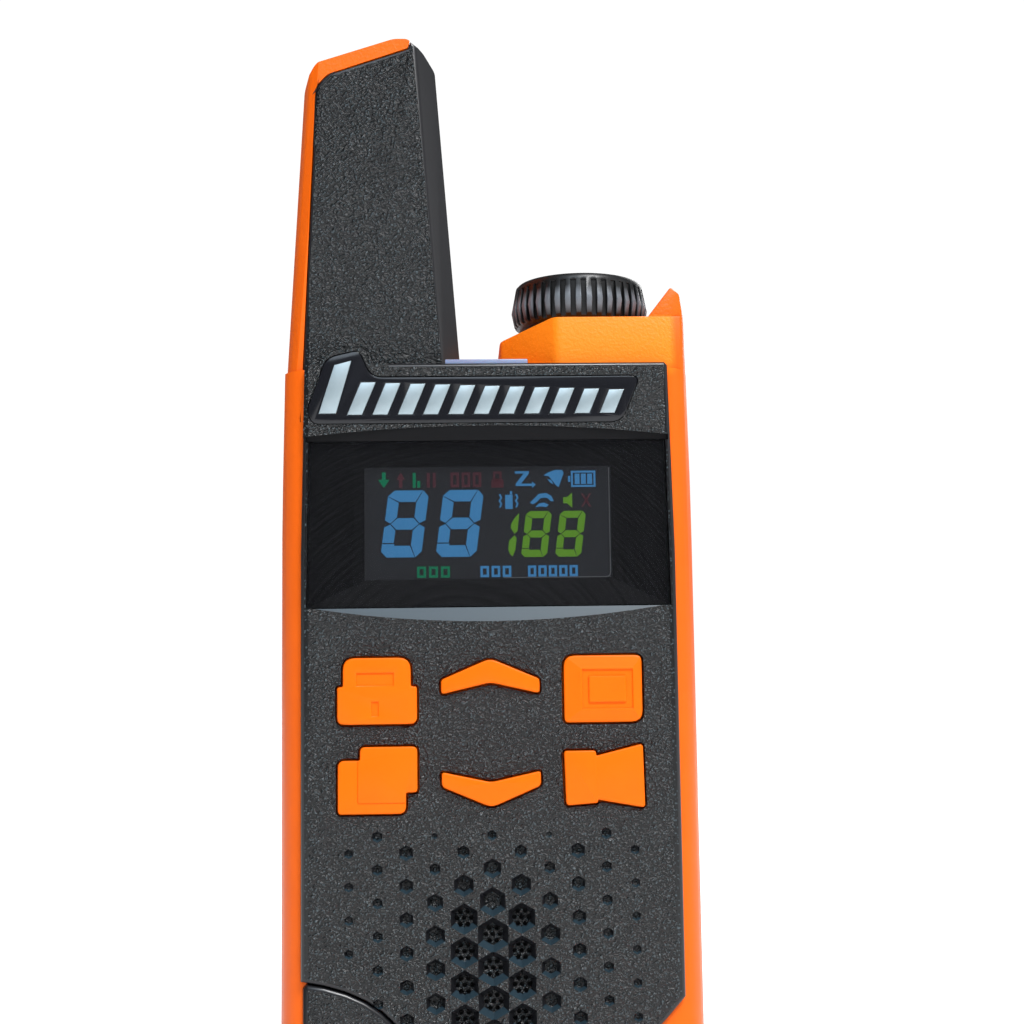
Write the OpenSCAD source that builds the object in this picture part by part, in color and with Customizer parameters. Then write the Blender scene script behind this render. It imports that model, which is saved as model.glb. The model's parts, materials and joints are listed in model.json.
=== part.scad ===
// Compact two way radio: orange rear shell, grained black front cover with a moulded
// antenna, display, six keys, speaker grille, volume knob, side ports and a belt clip.
// X is to the viewer's right, the front faces -Y, Z is up. The base stands on z = 0.

/* [Body] */
// Width across the widest line of the orange shell
body_w = 56.4; // [56.2:0.1:57]
// Depth from the front face to the back of the battery door
body_d = 28; // [28:0.2:30]
// Height from the base to the top of the brow
brow_top = 105.8; // [105.6:0.1:106.2]
// Height from the base to the antenna tip
total_h = 152.3; // [150:0.1:156]

/* [Front cover] */
// Width of the black front cover
cover_w = 50; // [49.6:0.1:50.2]
// Thickness of the front cover
wall = 2; // [1.9:0.05:2.1]
// Size across the flats of the largest grille recess
grille_hex = 4; // [3.4:0.1:4]
// Diameter of one grille perforation
perf_d = 0.7; // [0.4:0.1:0.8]

/* [Keys] */
// How far a key's face stands out of the cover
key_proud = 0.6; // [0.3:0.1:1]
// Gap between a key and its hole
key_gap = 0.3; // [0.25:0.05:0.35]

/* [Volume knob] */
// Diameter of the knob over its teeth
knob_d = 19.5; // [19:0.1:19.8]
// Number of teeth round the knob
knob_teeth = 40; // [30:1:44]
// Diameter of the control's shaft
shaft_d = 6; // [5.8:0.1:6.2]

/* [Back] */
// Width of the belt clip
clip_w = 16; // [14:1:18]
// Gap between the battery door and the belt clip
clip_gap = 5.8; // [5.6:0.1:6.4]

/* [Hidden] */
$fn = 48;

orange = "#f57c14";
black = "#34373a";
silver = "#c9ccd1";

// Faces, front to back
front = -body_d / 2;
back = body_d / 2;
half_w = body_w / 2;
cover_half = cover_w / 2;
cover_back = front + wall;
skirt_back = front + 4.6;
trim_back = front + 1.95;
mid_front = 1.2;
mid_back = 2.8;
fit = 0.1;

// Heights
taper_z = 80;
deck_z = brow_top - 0.6;
brow_low = 96.3;
window_low = 72.9;
window_high = 95.2;
window_sunk = 0.75;
mask_front = front + window_sunk + 0.7;
window_floor = mask_front + 0.15;

// Keys, from the front back
key_face = front - key_proud;
flange_front = cover_back + 0.3;
flange_back = flange_front + 0.7;
mat_front = flange_back + 0.9;
board_front = front + 5.4;
board_back = board_front + 1.2;

// Antenna
ant_front = front + 1.5;
ant_seam = front + 7;
ant_x = -15.2;
ant_y = -3.6;

// Volume control
knob_x = 13.7;
pedestal_top = 112.7;
knob_low = pedestal_top + 0.4;
knob_high = 119.5;
knob_h = knob_high - knob_low;

// Speaker and microphone
speaker_z = 25;
speaker_r = 15;
mic_x = 4;
mic_z = 7.7;

// Ports on the right side and the button on the left
port_y = -3.2;
jack_z = 73;
usb_z = 61;
jack_r = 1.78;
flap_y = [-6.8, 1.0];
flap_z = [55.5, 79.5];
flap_t = 1.2;
ptt_y = [-5, 6];
ptt_z = [58, 84];

// Battery door and clip
door_half = 20.2;
door_z = [5, 76];
bay_half = 19.5;
hinge_z = door_z[1] + 0.3;
pivot_y = back + 3.5;
pivot_z = 66;
arm_y = back + clip_gap;
screw_spots = [[-20, 12.4, 97], [20, 12.4, 97], [-17, mid_back - 0.2, 40], [17, mid_back - 0.2, 40]];

// ---- Helpers ----

function unit(v) = v / norm(v);

// Points of a quadratic curve from a to c that bends towards b
function bend(a, b, c, n = 6) =
    [for (i = [0:n]) let (t = i / n) (1 - t) * (1 - t) * a + 2 * t * (1 - t) * b + t * t * c];

// Points of part of an ellipse
function oval(c, rx, ry, from, to, n = 8) =
    [for (i = [0:n]) let (a = from + (to - from) * i / n) [c[0] + rx * cos(a), c[1] + ry * sin(a)]];

function flat(p) = [p[0], p[1]];

module square_of(x, z) polygon([[x[0], z[0]], [x[1], z[0]], [x[1], z[1]], [x[0], z[1]]]);

// A polygon whose corners [x, y, r] are rounded with r, or sharp where r is 0
function rounded(p, n = 5) = [for (i = [0:len(p) - 1])
    let (q = flat(p[i]), a = flat(p[(i + len(p) - 1) % len(p)]), b = flat(p[(i + 1) % len(p)]),
         r = p[i][2])
    each (r == 0 ? [q] : bend(q + unit(a - q) * r, q, q + unit(b - q) * r, n))];

function box_corners(x, y, r) = [[x[0], y[0], r], [x[1], y[0], r], [x[1], y[1], r], [x[0], y[1], r]];

function mirrored(p) = concat(p, [for (i = [len(p) - 1:-1:0]) [-p[i][0], p[i][1]]]);

// Extrude an X-Z drawing from y0 back to y1
module along_y(y0, y1) translate([0, y1, 0]) rotate([90, 0, 0]) linear_extrude(y1 - y0) children();

// Extrude a Y-Z drawing from x0 to x1
module along_x(x0, x1) translate([x0, 0, 0]) rotate([90, 0, 90]) linear_extrude(x1 - x0) children();

// A box between two corners
module block(a, b) translate(a) cube(b - a);

// Turn an upright child so that its axis runs back along Y, or right along X
module facing_back(p) translate(p) rotate([-90, 0, 0]) children();
module facing_right(p) translate(p) rotate([0, 90, 0]) children();

// A round wire swept along a helix round Z
module helix(r, wire, turns, pitch, steps = 16, sides = 6) {
    n = turns * steps;
    points = [for (i = [0:n], j = [0:sides - 1])
        let (a = 360 * i / steps, b = 360 * j / sides, q = r + wire * cos(b))
        [q * cos(a), q * sin(a), pitch * i / steps + wire * sin(b)]];
    skin = [for (i = [0:n - 1], j = [0:sides - 1]) let (k = (j + 1) % sides)
        [i * sides + j, (i + 1) * sides + j, (i + 1) * sides + k, i * sides + k]];
    caps = [[for (j = [0:sides - 1]) j], [for (j = [sides - 1:-1:0]) n * sides + j]];
    polyhedron(points, concat(skin, caps));
}

// ---- Outlines ----

// Lower edges of the front cover: the swoop at the left and the cut corner at the right
swoop = concat(bend([-cover_half, 24.5], [-15, 23.2], [-11.4, 17]),
               bend([-11.4, 17], [-6.2, 7.6], [1, 5]));
corner_cut = bend([6, 5], [15, 10.4], [cover_half, 21.8], 8);

module cover_outline() polygon(concat(swoop, corner_cut,
    [[cover_half, taper_z], [cover_half - 0.5, brow_top - 0.4],
     [cover_half - 0.9, brow_top], [-cover_half + 0.9, brow_top],
     [-cover_half + 0.5, brow_top - 0.4], [-cover_half, taper_z]]));

// The trim fills the lower left corner and follows the swoop with a narrow gap
trim_gap = 0.15;
module trim_outline() difference() {
    polygon(rounded([[-24.7, 26, 0], [-0.4, 26, 0], [-0.4, 1.6, 0.8], [-24.7, 1.6, 4.5]]));
    offset(delta = trim_gap) cover_outline();
    polygon([[-26, 23.6], [-24.7, 23.6], [-24.0, 24.4], [-24.0, 27], [-26, 27]]);
}

module body_outline() polygon(rounded([
    [half_w, 0, 6], [half_w, taper_z, 0], [half_w - 0.7, deck_z, 0.8], [-half_w + 0.7, deck_z, 0],
    [-half_w, taper_z, 0], [-half_w, 0, 6]], 6));

module plan_profile() polygon(mirrored(concat(
    oval([half_w - 4, front + 8], 4, 6.8, -90, 0),
    oval([half_w - 8, back - 8], 8, 8, 0, 90))));

// Antenna seen from the front: its whole outline, and the black face on it
module antenna_outline() polygon(rounded([
    [-27.8, 98, 0], [-25.1, total_h - 6.1, 0.6], [-23.3, total_h - 3.5, 0.6],
    [-12.4, total_h, 0.6], [-10.5, total_h, 0.4], [-8.3, total_h - 1.8, 0.5],
    [-6.7, total_h - 4.1, 0.5], [-2.95, 98, 0]]));

module antenna_face(grow = 0) polygon(rounded([
    [-25.5 - grow, 90, 0], [-23.1 - grow, total_h - 6.9, 0.8], [-21.6, total_h - 5.2 + grow, 0.8],
    [-10.3 - grow, total_h - 1.4 + grow, 0.2], [-9.7 - grow, total_h + 1, 0], [0, total_h + 1, 0],
    [0, 90, 0]]));

// Plan section of the antenna between x l and x r, and y f and y b
module antenna_section(l, r, f, b) polygon([
    [l + 2.2, f], [l + 0.9, f + 1.2], [l, f + 4.5], [l, b - 3], [l + 1, b - 1], [l + 3, b], [r - 3, b],
    [r - 1, b - 1], [r, b - 3], [r, f + 2.4], [r - 2.5, f]]);

module antenna_solid(inset = 0) intersection() {
    hull() {
        translate([0, 0, 98]) linear_extrude(0.1)
            antenna_section(-27.8 + inset, -2.95 - inset, ant_front + inset, 5 - inset);
        translate([0, 0, total_h + 2 - inset]) linear_extrude(0.1)
            antenna_section(-24.7 + inset, -7.1 - inset, ant_front + 1.2 + inset, 2.5 - inset);
    }
    translate([0, 0, -inset]) along_y(front - 1, back) antenna_outline();
}

// Keys
key_lock_shape = rounded([
    [-20.15, 57.5, 0.9], [-9.7, 57.5, 0.9], [-9.7, 62.4, 0.3], [-10.5, 62.4, 0.3],
    [-10.5, 66.2, 1.6], [-19.4, 66.2, 1.6], [-19.4, 62.4, 0.3], [-20.15, 62.4, 0.3]], 4);
key_up_shape = rounded([
    [-6.5, 61.3, 0.5], [0, 62.8, 0.6], [6.5, 61.3, 0.5], [6.5, 63.2, 0.4], [0, 65.95, 0.9],
    [-6.5, 63.2, 0.4]], 3);
key_menu_shape = rounded([
    [9.75, 57.4, 0.6], [20.1, 57.4, 1.5], [20.1, 66.2, 0.9], [9.75, 66.2, 1.5]], 4);
key_copy_shape = rounded([
    [-20.1, 45.85, 0.5], [-11.2, 45.85, 1], [-11.2, 48.6, 0.3], [-9.7, 48.6, 0.5],
    [-9.7, 54.55, 0.7], [-17.2, 54.55, 0.7], [-17.2, 52.8, 0.3], [-20.1, 52.8, 0.9]], 4);
key_down_shape = rounded([
    [-6.5, 51.15, 0.4], [-6.5, 49.25, 0.5], [0, 46.5, 0.9], [6.5, 49.25, 0.5], [6.5, 51.15, 0.4],
    [0, 49.75, 0.6]], 3);
key_call_shape = rounded([
    [9.6, 53.7, 0.4], [13.75, 53.7, 0.3], [13.85, 53.0, 0.2], [20.0, 54.5, 0.5], [20.15, 46.2, 0.5],
    [14.0, 47.3, 0.15], [13.9, 46.9, 0.15], [9.8, 46.6, 0.5]], 3);
key_shapes = [key_lock_shape, key_up_shape, key_menu_shape, key_copy_shape, key_down_shape,
              key_call_shape];

// ---- Front ----

// Grille recesses: the size falls off from the middle columns out, and towards the top rows
column_hex = [1, 0.9, 0.62, 0.45, 0.33, 0.28];
col_pitch = 3.75;
row_pitch = 4.28;
function hex_z(k, row) = (k % 2 == 0 ? 42.9 : 40.76) - row_pitch * row;
function hex_size(k, row) = let (fade = max(0.27, 1 - max(0, 2.6 - row + (k % 2 == 0 ? 0 : -0.5)) * 0.27))
    grille_hex * column_hex[abs(k)] * (abs(k) < 3 ? fade : 1);
function in_tongue(x, z) = z > 8 + max(0, abs(x - 2.5) - 7.5) * 1.15;
recesses = [for (k = [-5:5], row = [0:8])
    let (x = k * col_pitch, z = hex_z(k, row), s = hex_size(k, row))
    if (in_tongue(x, z)) [x, z, s]];

module hex_recess(spot) facing_back([spot[0], front - 0.01, spot[1]]) rotate([0, 0, 30])
    cylinder(r1 = spot[2] * 0.577, r2 = spot[2] * 0.36, h = min(1.3, spot[2] * 0.42), $fn = 6);

// Seven small holes through the floor of a full-size recess
module perforations(spot) for (j = [0:6])
    facing_back([spot[0] + (j == 0 ? 0 : 0.95 * cos(60 * j)), front,
                 spot[1] + (j == 0 ? 0 : 0.95 * sin(60 * j))])
        cylinder(d = perf_d, h = wall + 1, $fn = 6);

module key_holes() for (s = key_shapes) along_y(front - 1, cover_back + 1) offset(delta = key_gap)
    polygon(s);

module key_lips() for (s = key_shapes) along_y(front - 0.18, front + 0.2) difference() {
    offset(delta = key_gap + 0.45) polygon(s);
    offset(delta = key_gap) polygon(s);
}

module window_outline(grow = 0) polygon([
    [-24.2 - grow, window_low - grow], [24.2 + grow, window_low - grow],
    [23.9 + grow, window_high + grow], [-23.9 - grow, window_high + grow]]);

// A smooth lens-shaped facet that slopes in from the cover's face to the sunken window's edge at
// z edge. It is 2 mm tall in the middle, up or down (way 1 or -1), and its arc has radius r
module window_facet(edge, way, r) intersection() {
    facing_back([0, front - 1, edge + way * (2 - r)]) cylinder(r = r, h = 3, $fn = 200);
    along_x(-24.4, 24.4) polygon([[front - 0.5, edge + way * 2.4], [front, edge + way * 2.1],
                                  [front + window_sunk, edge - way * 0.1], [front - 0.5, edge - way * 0.1]]);
}

module badge_outline() polygon(rounded([
    [-24.2, 99.4, 0.9], [-23.4, 97.6, 0.8], [18.2, 97.6, 1.6], [20.8, 103.9, 1.4], [-15.6, 103.9, 1.5],
    [-17.2, 107.6, 0.8], [-21.6, 106.6, 1.4]]));

// The raised tab of the badge stands on a rim above the brow's edge
module badge_rim() along_y(front, ant_front + 0.5) intersection() {
    offset(delta = 0.5) badge_outline();
    square_of([-30, -14], [96, 110]);
}

module light_notch(grow) {
    block([-5.6 - grow, front + 0.6 - grow, 104.8 - grow], [5.6 + grow, front + 1.4, brow_top + 0.6 + grow]);
    block([-2.6 - grow, front + 1.3, 104.8 - grow], [1.9 + grow, 0 + grow, brow_top + 0.6 + grow]);
}

module cover_bosses() for (s = screw_spots)
    facing_back([s[0], cover_back - 0.1, s[2]]) cylinder(r = 2.2, h = s[1] - 1.4 - 2.4 - cover_back);

// Room behind the cover for the speaker and the microphone
module sound_room() {
    facing_back([0, cover_back + 0.01, speaker_z]) cylinder(r = speaker_r + 0.3, h = 8);
    facing_back([mic_x, cover_back + 0.01, mic_z]) cylinder(r = 2.3, h = 5);
}

module cover_skirt() difference() {
    along_y(cover_back - 0.1, skirt_back) difference() {
        cover_outline();
        offset(delta = -1.6) cover_outline();
    }
    block([-40, -20, brow_low], [40, 0, 120]);
    sound_room();
}

module front_cover() color(black) difference() {
    union() {
        along_y(front, cover_back) cover_outline();
        cover_skirt();
        key_lips();
        cover_bosses();
        badge_rim();
        intersection() {
            difference() {
                antenna_solid();
                antenna_solid(1.6);
            }
            along_y(front, ant_seam) antenna_face();
            block([-40, front, brow_low + 2], [0, ant_seam, total_h + 1]);
        }
    }
    key_holes();
    along_y(front - 1, window_floor) window_outline(0.1);
    along_y(front, cover_back + 1) square_of([-18, 18], [75.5, 93.2]);
    window_facet(window_low, -1, 145);
    window_facet(window_high, 1, 220);
    along_y(front - 1, front + 0.6) offset(delta = fit) badge_outline();
    light_notch(fit);
    for (r = recesses) hex_recess(r);
    for (r = recesses) if (r[2] > 0.85 * grille_hex) perforations(r);
    facing_back([mic_x, front - 1, mic_z]) cylinder(d = 1.2, h = wall + 2, $fn = 8);
    for (s = screw_spots) facing_back([s[0], cover_back + 1, s[2]]) cylinder(r = 1, h = 40);
}

module lower_trim() color(black) along_y(front + 0.1, trim_back) trim_outline();

module badge_plate() color("#17181b") difference() {
    along_y(front + 0.1, front + 0.6) badge_outline();
    along_y(front, front + 0.3) badge_bars();
}

// A plain row of slanted bars in place of a name
bar_count = 11;
module badge_bars() {
    polygon([[-22.6, 99], [-20.3, 99], [-18.2, 106.2], [-20.5, 105.6]]);
    for (i = [0:bar_count - 1]) let (x = -18.8 + 3.4 * i, h = 4.4 - 0.12 * i)
        polygon([[x, 98.8], [x + 2, 98.8], [x + 2 + 0.42 * h, 98.8 + h], [x + 0.42 * h, 98.8 + h]]);
}

module badge_mark() color(silver) along_y(front, front + 0.3) badge_bars();

module light_bar() color("#c8cdf0") light_notch(0);

module light_led(grow = 0) color("#fff6d0")
    block([-1.6 - grow, -4 - grow, 103.4 - grow], [0.8 + grow, -2 + grow, 104.7 + grow]);

module display_window() color("#20242c", 0.5) along_y(front + window_sunk, mask_front) window_outline();

module window_mask() color("#050506") along_y(mask_front, window_floor) difference() {
    window_outline(-0.1);
    square_of([-16.6, 16.6], [76.6, 91.8]);
}

module lcd_panel() color("#3a3d40")
    along_y(cover_back + 0.1, cover_back + 1.9) square_of([-17.6, 17.6], [75.7, 93]);

module lcd_backlight() color("white")
    along_y(cover_back + 1.9, cover_back + 2.8) square_of([-17.6, 17.6], [75.7, 93]);

module lcd_frame() color("#8d9096") difference() {
    along_y(cover_back + 0.6, board_front) square_of([-18.6, 18.6], [74.7, 94]);
    along_y(cover_back, board_front + 1) square_of([-17.7, 17.7], [75.6, 93.1]);
}

// A key: its cap, and the flange behind the cover that keeps it in
module key(shape) color(orange) {
    along_y(key_face, flange_front) polygon(shape);
    along_y(flange_front - 0.01, flange_back) offset(delta = 0.75) polygon(shape);
}

module key_lock() color(orange) difference() {
    key(key_lock_shape);
    along_y(key_face - 1, key_face + 0.25) square_of([-17.6, -12.8], [62.6, 64.2]);
    along_y(key_face - 1, key_face + 0.25) square_of([-15.6, -14.8], [58.6, 60.4]);
}
module key_up() key(key_up_shape);
module key_menu() color(orange) difference() {
    key(key_menu_shape);
    along_y(key_face - 1, key_face + 0.3) difference() {
        square_of([12.2, 18.8], [59.2, 64.3]);
        square_of([13, 18], [60, 63.5]);
    }
}
module key_copy() key(key_copy_shape);
module key_down() key(key_down_shape);
module key_call() key(key_call_shape);

module keypad_mat() color("#d8d8d4") {
    along_y(mat_front + 0.5, mat_front + 1) square_of([-21.5, 21.5], [44.2, 67.4]);
    for (c = key_centres) facing_back([c[0], mat_front, c[1]]) cylinder(r = 2.2, h = 0.6);
}

key_centres = [[-15, 61.6], [0, 63.9], [15, 61.8], [-15, 50.2], [0, 48.9], [15.2, 50.3]];

module key_domes() color("#d9b45a") for (c = key_centres)
    facing_back([c[0], board_front - 0.35, c[1]]) cylinder(r = 2, h = 0.35);

// ---- Inside ----

module main_board() color("#1f6b3a") along_y(board_front, board_back) square_of([-21.6, 21.6], [43.4, 92.8]);

module rf_shield() color("#b9bcc0") difference() {
    block([-18, board_back, 74], [2, board_back + 2.6, 91]);
    block([-17.7, board_back - 1, 74.3], [1.7, board_back + 2.3, 90.7]);
}

module board_chips() color("#222226") {
    block([-15, board_back, 77], [-8, board_back + 1, 84]);
    block([-5.5, board_back, 78], [-0.5, board_back + 1, 83]);
    block([-14, board_back, 52], [-4, board_back + 1.2, 62]);
    block([2, board_back, 50], [8, board_back + 1.2, 55]);
}

module on_speaker(y) facing_back([0, y, speaker_z]) children();

module speaker_frame() color("#9aa0a6") on_speaker(cover_back + 0.5) rotate_extrude() polygon([
    [13, 0], [speaker_r, 0], [speaker_r, 1], [13.6, 1.4], [9.4, 5], [5, 5], [5, 4.4], [9, 4.4],
    [13, 0.9]]);

module speaker_cone() color("#2a2a2c") on_speaker(cover_back + 0.7) rotate_extrude() polygon([
    [0, 1.2], [4, 1.9], [4.6, 2.9], [8.2, 2.9], [11, 0.4], [12.9, 0.1], [12.9, 0.4], [11.2, 0.7],
    [8.4, 3.2], [4.3, 3.2], [3.7, 2.2], [0, 1.5]]);

module speaker_magnet() color("#5b5e62") on_speaker(cover_back + 5.5) cylinder(r = 8.4, h = 3);

module speaker_felt() color("#101010") on_speaker(cover_back + 0.02) cylinder(r = 14.6, h = 0.45);

module microphone() color(silver) facing_back([mic_x, cover_back + 0.4, mic_z]) cylinder(r = 1.7, h = 1.6);

module microphone_boot() color("#1b1b1b") facing_back([mic_x, cover_back + 0.1, mic_z]) difference() {
    cylinder(r = 2.1, h = 2.1);
    translate([0, 0, 0.3]) cylinder(r = 1.7, h = 4);
    translate([0, 0, -1]) cylinder(r = 0.6, h = 4);
}

module antenna_core() color("#e8e6df") translate([ant_x, ant_y, 104]) cylinder(r = 3, h = 34);

module antenna_coil() color("#c97b3c") translate([ant_x, ant_y, 107]) helix(3.6, 0.4, 12, 2.4);

module antenna_feed() color("#d9b45a") {
    translate([ant_x, ant_y, 93.4]) cylinder(r = 0.8, h = 10.6);
    block([ant_x - 1.5, board_back, 91], [ant_x + 1.5, board_back + 0.4, 94.2]);
    block([ant_x - 1.5, board_back + 0.4, 93.4], [ant_x + 1.5, ant_y + 1, 94.2]);
}

// ---- Volume control ----

module on_knob(z) translate([knob_x, 0, z]) children();

module volume_control() color("#9aa0a6") difference() {
    union() {
        on_knob(105.1) translate([-5.5, -5.5, -3]) cube([11, 11, 8]);
        on_knob(110) cylinder(r = 3.9, h = 3.9);
    }
    on_knob(103.6) cylinder(d = shaft_d + 0.1, h = 20);
}

module control_nut() color(silver) on_knob(pedestal_top) difference() {
    cylinder(r = 6, h = 1.6, $fn = 6);
    translate([0, 0, -1]) cylinder(r = 3.9, h = 4);
}

module control_shaft() color(silver) on_knob(104) cylinder(d = shaft_d, h = 13.2);

module volume_knob() color("#2e3033") on_knob(knob_low) difference() {
    rotate_extrude($fn = 96) polygon([
        [shaft_d / 2, 1.6], [shaft_d / 2, 5], [0, 5], [0, knob_h - 0.3], [7.6, knob_h - 0.3],
        [8, knob_h], [8.7, knob_h], [knob_d / 2 - 0.65, knob_h - 0.4], [knob_d / 2, 2.6],
        [knob_d / 2 - 0.4, 0.6], [8.6, 0], [7.2, 0], [7.2, 3.2], [4.4, 3.2], [4.4, 1.6]]);
    for (i = [0:knob_teeth - 1]) rotate([0, 0, i * 360 / knob_teeth])
        translate([knob_d / 2 - 0.75, -0.36, -1]) cube([2, 0.72, knob_h]);
}

// ---- Rear shell ----

module pedestal() difference() {
    pedestal_block();
    along_y(-20, 20) polygon([[1, 110.9], [2.1, 110.9], [9, pedestal_top], [9, 120], [1, 120]]);
}

module pedestal_block() intersection() {
    translate([0, 0, deck_z - 3]) linear_extrude(pedestal_top - deck_z + 3) intersection() {
        plan_profile();
        polygon(rounded([[2.1, -3.4, 0.8], [9.6, front + 2.7, 0.8], [half_w, front + 2.7, 0],
                         [half_w, 10.5, 3], [2.1, 10.5, 2]]));
    }
    along_y(-20, 20) polygon([[2, 100], [half_w - 0.6, 100], [half_w - 1, 114], [2, 114]]);
}

// Pointed fin that guards the knob at the outer side
module guard_fin() intersection() {
    along_y(front + 3.2, 4) polygon([[22, 112], [22.5, 112.9], [25.6, 116.9], [26.8, 115.9],
                                     [half_w - 0.9, 112], [half_w - 0.8, 106], [22, 106]]);
    linear_extrude(130) plan_profile();
    difference() {
        block([20, -20, 100], [30, 20, 120]);
        on_knob(pedestal_top) cylinder(d = knob_d + 1, h = 20);
    }
}

module main_cavity() {
    along_y(skirt_back + 0.2, mid_front) polygon([[-25.1, 3], [17.5, 3], [17.5, 12.5], [25.1, 12.5],
        [25.1, taper_z], [24.6, deck_z - 2], [-24.6, deck_z - 2], [-25.1, taper_z]]);
    for (s = [-1, 1]) scale_x(s) block([21.2, 0, 40], [25.1, 10, 97]);
    block([-23.5, 0, 78], [23.5, 11.6, deck_z - 2]);
    block([8, -6.2, deck_z - 3], [20, 7, pedestal_top - 2]);
    along_y(front - 1, skirt_back + 0.3) intersection() {
        offset(delta = fit) cover_outline();
        square_of([-40, 40], [0, brow_low]);
    }
    along_y(front - 1, cover_back + fit) offset(delta = fit) cover_outline();
    block([-24.6, cover_back, brow_low - 1], [24.6, 0, deck_z - 2]);
    along_y(front - 1, trim_back + fit) offset(delta = fit) trim_outline();
    sound_room();
}

module scale_x(s) mirror([s < 0 ? 1 : 0, 0, 0]) children();

module battery_bay() {
    block([-bay_half, mid_back, 8], [bay_half, back + 1, 74]);
    block([-door_half - 0.3, back - 2.1, door_z[0] - 0.3], [door_half + 0.3, back + 1, hinge_z + 0.2]);
    for (x = [-12, 12]) block([x - 3.4, back - 3.6, 75], [x + 3.4, back - 0.7, 79.2]);
}

module side_openings() {
    facing_right([20, port_y, jack_z]) cylinder(r = 3.1, h = 12);
    along_x(20, 30) polygon(rounded(box_corners([port_y - 1.7, port_y + 1.7], [usb_z - 4.8, usb_z + 4.8], 0.3)));
    along_x(half_w - flap_t - 0.1, 30) polygon(rounded(box_corners(
        [flap_y[0] - 0.3, flap_y[1] + 0.3], [flap_z[0] - 0.3, flap_z[1] + 0.3], 2)));
    along_x(-30, -25) polygon(rounded(box_corners(
        [ptt_y[0] - 0.3, ptt_y[1] + 0.3], [ptt_z[0] - 0.3, ptt_z[1] + 0.3], 2.3)));
    block([19.5, front + 6.4, 2.4], [30, front + 14.6, 10]);
    facing_back([23.4, front - 1, 6.2]) cylinder(r = 1.5, h = 10);
}

module screw_bosses() for (s = screw_spots)
    facing_back([s[0], s[1] - 3.6, s[2]]) cylinder(r = 3, h = s[1] > 5 ? 4 : 3);

module screw_bores() for (s = screw_spots) {
    facing_back([s[0], s[1] - 12, s[2]]) cylinder(r = 1.1, h = 20);
    facing_back([s[0], s[1] - 1.5, s[2]]) cylinder(r = 2.2, h = 4);
}

module rear_shell() color(orange) difference() {
    union() {
        difference() {
            union() {
                intersection() {
                    along_y(front, back) body_outline();
                    linear_extrude(120) plan_profile();
                }
                pedestal();
                guard_fin();
            }
            main_cavity();
            battery_bay();
            side_openings();
        }
        screw_bosses();
        intersection() {
            antenna_solid();
            block([-40, cover_back + fit, deck_z - 2], [0, back, total_h + 1]);
        }
    }
    antenna_solid(1.7);
    intersection() {
        antenna_solid(-fit);
        along_y(front - 1, ant_seam + fit) antenna_face(fit);
    }
    screw_bores();
    light_notch(fit);
    light_led(fit);
    on_knob(pedestal_top - 4) cylinder(r = 4, h = 10);
}

// ---- Side pieces ----

module ptt_button() color("#2a2c2f") {
    along_x(-half_w + 0.1, -24.7) polygon(rounded(box_corners(ptt_y, ptt_z, 2)));
    along_x(-24.8, -24) polygon(rounded(box_corners([ptt_y[0] - 0.9, ptt_y[1] + 0.9],
                                                    [ptt_z[0] - 0.9, ptt_z[1] + 0.9], 2.4)));
}

module ptt_switch() color("#c9a24a") block([-22.9, board_back, 69], [-18.6, board_back + 4, 73]);

module headset_jack() color("#26282b") difference() {
    union() {
        block([12.5, board_back, jack_z - 3], [24.9, port_y + 3, jack_z + 3]);
        facing_right([24.8, port_y, jack_z]) cylinder(r = 3, h = half_w - flap_t - 0.2 - 24.8);
    }
    facing_right([14, port_y, jack_z]) cylinder(r = jack_r, h = 20);
}

module charge_port() color(silver) difference() {
    union() {
        block([18, port_y - 1.6, usb_z - 4.6], [half_w - flap_t - 0.4, port_y + 1.6, usb_z + 4.6]);
        block([18, board_back, usb_z - 4.6], [24, port_y - 1.5, usb_z + 4.6]);
    }
    along_x(19, 30) polygon(rounded(box_corners([port_y - 1.3, port_y + 1.3], [usb_z - 4.2, usb_z + 4.2], 1.2)));
}

module port_flap() color(orange) {
    along_x(half_w - flap_t, half_w) polygon(rounded(box_corners(flap_y, flap_z, 1.7)));
}

// ---- Battery, door and clip ----

module battery_pack() color("#3b4a63") translate([0, 0, 9]) linear_extrude(62.6)
    polygon(rounded(box_corners([-18.8, 18.8], [mid_back + 0.4, back - 2.5], 2.5)));

module battery_contacts() color("#d9b45a") for (x = [-6, 0, 6])
    block([x - 1.2, 5, 71.7], [x + 1.2, 9, 74]);

module battery_door() color(orange) {
    difference() {
        along_y(back - 2, back) polygon(rounded(box_corners([-door_half, door_half], door_z, 2)));
        along_y(back - 0.5, back + 1) polygon(rounded(box_corners([-7, 7], [7.5, 12.5], 2.4)));
    }
    for (x = [-12, 12]) block([x - 3, back - 2, door_z[1] - 1], [x + 3, back - 1, door_z[1] + 2.4]);
    for (s = [-1, 1]) difference() {
        along_x(s * 6 - 1, s * 6 + 1) polygon([[back - 0.5, pivot_z - 4], [pivot_y, pivot_z - 2.2],
            [pivot_y + 1.5, pivot_z - 1.2], [pivot_y + 1.5, pivot_z + 1.2], [pivot_y, pivot_z + 2.2],
            [back - 0.5, pivot_z + 4]]);
        facing_right([s * 6 - 2, pivot_y, pivot_z]) cylinder(r = 1, h = 4);
    }
}

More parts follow.
